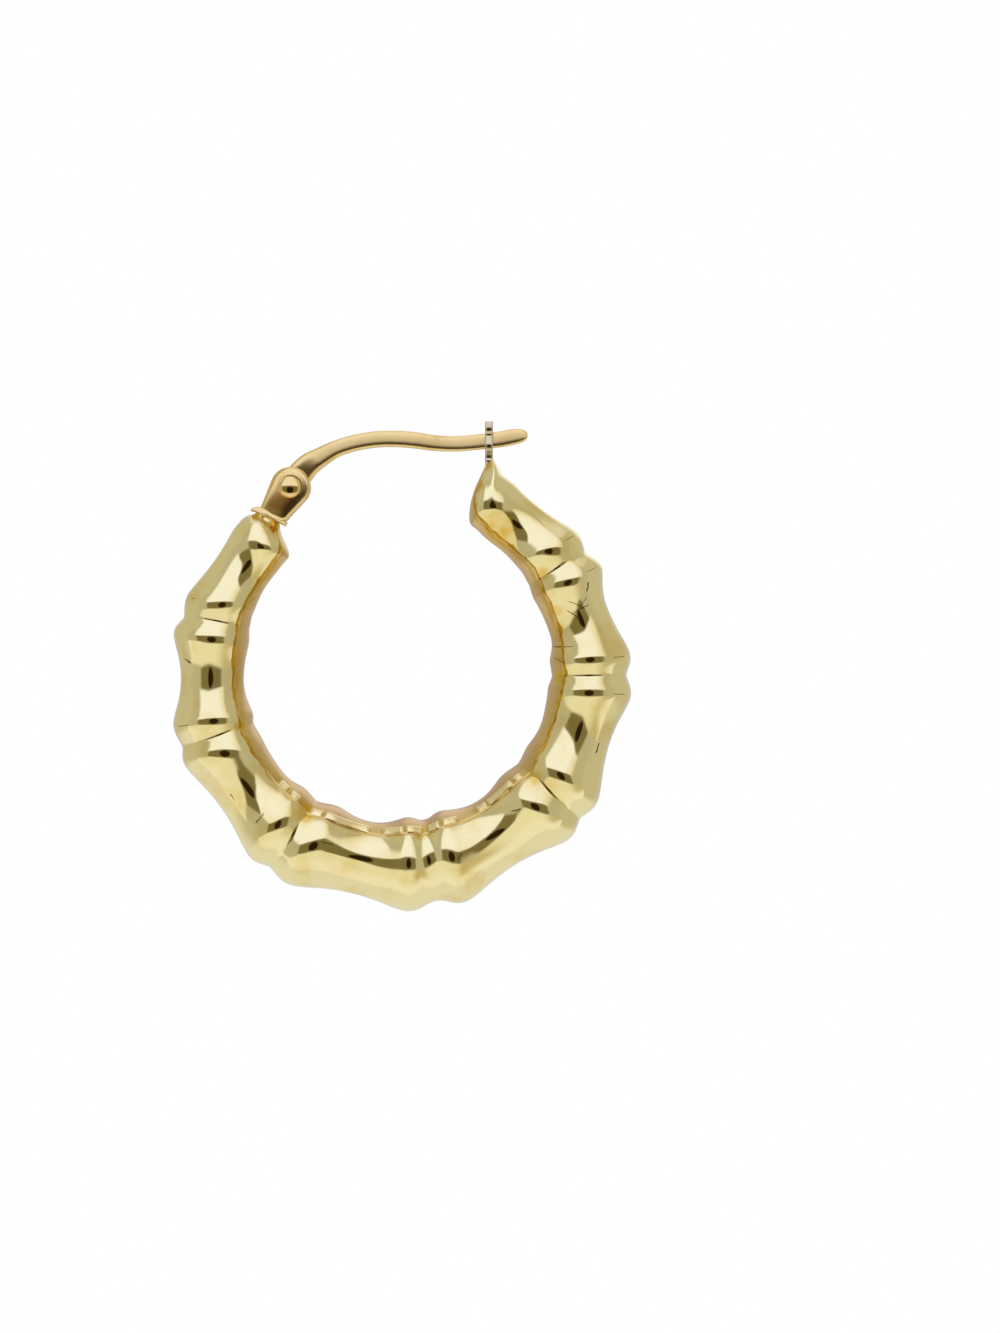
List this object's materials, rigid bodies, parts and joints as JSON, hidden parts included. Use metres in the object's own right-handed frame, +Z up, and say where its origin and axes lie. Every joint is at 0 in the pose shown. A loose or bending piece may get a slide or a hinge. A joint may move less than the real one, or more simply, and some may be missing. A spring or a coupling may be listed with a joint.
{
  "type": "bamboo hoop earring with hinged ear wire",
  "caption": "Hollow gold creole hoop with bamboo knuckles, thick at the bottom and slim at the ends, closed by a hinged ear wire that snaps into a forked catch.",
  "frame": {"origin": "on the surface the earring lies on, under the middle of its box", "axes": "+Z up, away from the surface; +Y toward the ear wire; +X from the hinge toward the catch"},
  "size_m": [0.0252, 0.0269, 0.0052],
  "materials": {
    "hoop_gold": "mirror-polished pale yellow gold, 9 carat, lightly scratched",
    "wire_gold": "polished 9 carat gold of a rosier alloy, finely scratched",
    "rivet_gold": "polished 9 carat gold of a rosier alloy"
  },
  "bodies": {
    "hoop": {"hoop": "hoop_gold", "rivet": "rivet_gold"},
    "ear_wire": {"ear_wire": "wire_gold"}
  },
  "joints": [
    {"name": "ear_wire_hinge", "type": "hinge", "parent": "hoop", "child": "ear_wire", "pos_m": [-0.0061, 0.00985, 0.00163], "axis": [-0.0073, 0.0448, 0.999], "range_deg": [0, 70]}
  ]
}
